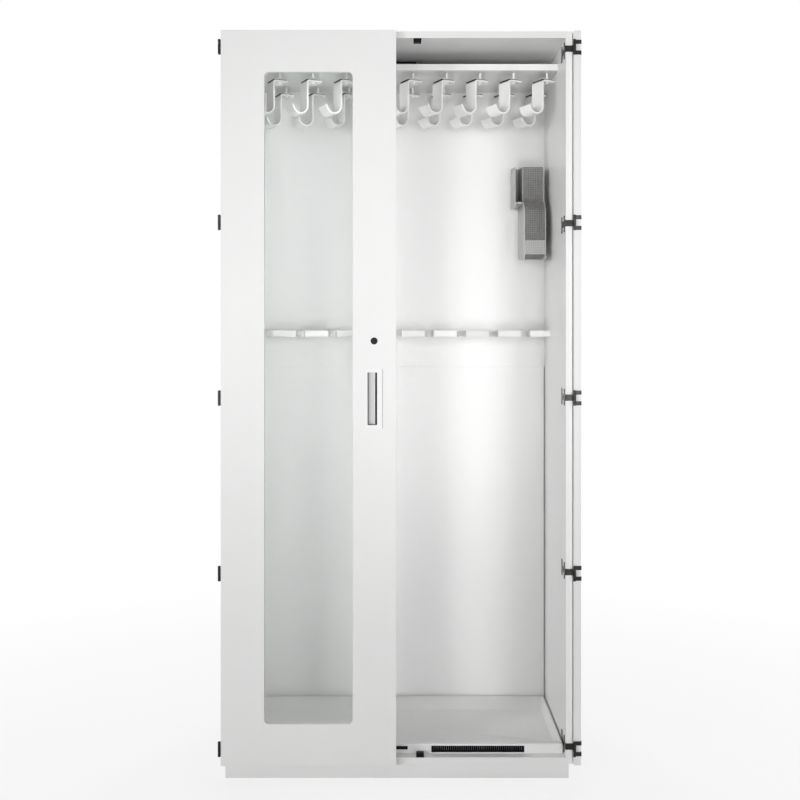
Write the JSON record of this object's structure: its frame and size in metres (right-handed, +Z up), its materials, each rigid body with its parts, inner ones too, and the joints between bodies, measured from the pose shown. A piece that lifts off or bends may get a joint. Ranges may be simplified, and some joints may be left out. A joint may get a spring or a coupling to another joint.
{
  "type": "hanging drying cabinet",
  "caption": "Tall two-door hanging cabinet that dries and stores long flexible instruments on hooks above a drip tray, with glazed doors and a fan.",
  "frame": {"origin": "on the floor, in the middle of the cabinet box's footprint", "axes": "+Z up, -Y out of the doors, +X to the right seen from the front"},
  "size_m": [1.0395, 0.505, 2.14],
  "materials": {
    "white_laminate": "satin melamine face",
    "back_liner": "satin sheet",
    "back_board": "matt back board",
    "black_plastic": "matt moulded",
    "filter_pad": "fibre pad",
    "hook_white": "powder coated",
    "holder_grey": "satin",
    "holder_dark": "perforated sheet",
    "hinge_nickel": "nickel plated",
    "screw_steel": "zinc plated",
    "tray_white": "vacuum formed sheet",
    "door_glass": "clear",
    "seal_grey": "soft seal",
    "pull_silver": "satin",
    "lock_black": "black chromed"
  },
  "bodies": {
    "cabinet": {"side_panel_left": "white_laminate", "side_panel_right": "white_laminate", "top_panel": "white_laminate", "bottom_panel": "white_laminate", "hook_shelf": "white_laminate", "upper_back_liner": "back_liner", "lower_back_liner": "back_liner", "rear_panel": "back_board", "plinth_front": "white_laminate", "plinth_rear": "white_laminate", "plinth_sides": "white_laminate", "plinth_middle": "white_laminate", "front_riser": "white_laminate", "intake_grilles": "black_plastic", "intake_filters": "filter_pad", "latch_plate": "black_plastic", "guide_rail": "white_laminate", "front_hooks": "hook_white", "rear_hooks": "hook_white", "hook_spacers": "hook_white", "hook_screws": "hook_white", "holder_shell": "holder_grey", "holder_liner": "holder_dark", "holder_pocket": "holder_grey", "holder_screws": "screw_steel", "hinge_wings_left": "hinge_nickel", "hinge_wings_right": "hinge_nickel", "hinge_pins_left": "hinge_nickel", "hinge_pins_right": "hinge_nickel", "wing_screws": "screw_steel", "magnetic_catches": "black_plastic", "fan_frame": "black_plastic", "fan_guard": "screw_steel", "fan_screws": "screw_steel", "power_inlet": "black_plastic"},
    "left_door": {"left_door_panel": "white_laminate", "left_glass": "door_glass", "left_glass_seal": "seal_grey", "left_glazing_bead": "white_laminate", "left_pull": "pull_silver", "left_hinge_leaves": "hinge_nickel", "left_leaf_screws": "screw_steel", "left_strikes": "screw_steel", "lock_housing": "lock_black"},
    "right_door": {"right_door_panel": "white_laminate", "right_glass": "door_glass", "right_glass_seal": "seal_grey", "right_glazing_bead": "white_laminate", "right_pull": "pull_silver", "right_hinge_leaves": "hinge_nickel", "right_leaf_screws": "screw_steel", "right_strikes": "screw_steel", "lock_keeper": "hinge_nickel"},
    "lock": {"lock_plug": "lock_black", "lock_cam": "hinge_nickel"},
    "fan_rotor": {"fan_rotor": "black_plastic"},
    "drip_tray": {"drip_tray": "tray_white"}
  },
  "joints": [
    {"name": "left_door_swing", "type": "hinge", "parent": "cabinet", "child": "left_door", "pos_m": [-0.503, -0.261, 1.097], "axis": [0, 0, -1], "range_deg": [0, 270]},
    {"name": "right_door_close", "type": "hinge", "parent": "cabinet", "child": "right_door", "pos_m": [0.503, -0.261, 1.097], "axis": [0, 0, -1], "range_deg": [0, 270]},
    {"name": "lock_turn", "type": "hinge", "parent": "left_door", "child": "lock", "pos_m": [-0.0645, -0.25, 1.258], "axis": [0, -1, 0], "range_deg": [0, 90]},
    {"name": "fan_spin", "type": "hinge", "parent": "cabinet", "child": "fan_rotor", "pos_m": [0, 0.09, 2.108], "axis": [0, 0, 1], "continuous": true},
    {"name": "tray_lift", "type": "slide", "parent": "cabinet", "child": "drip_tray", "axis": [0, 0, 1], "range_m": [0, 0.1]}
  ]
}
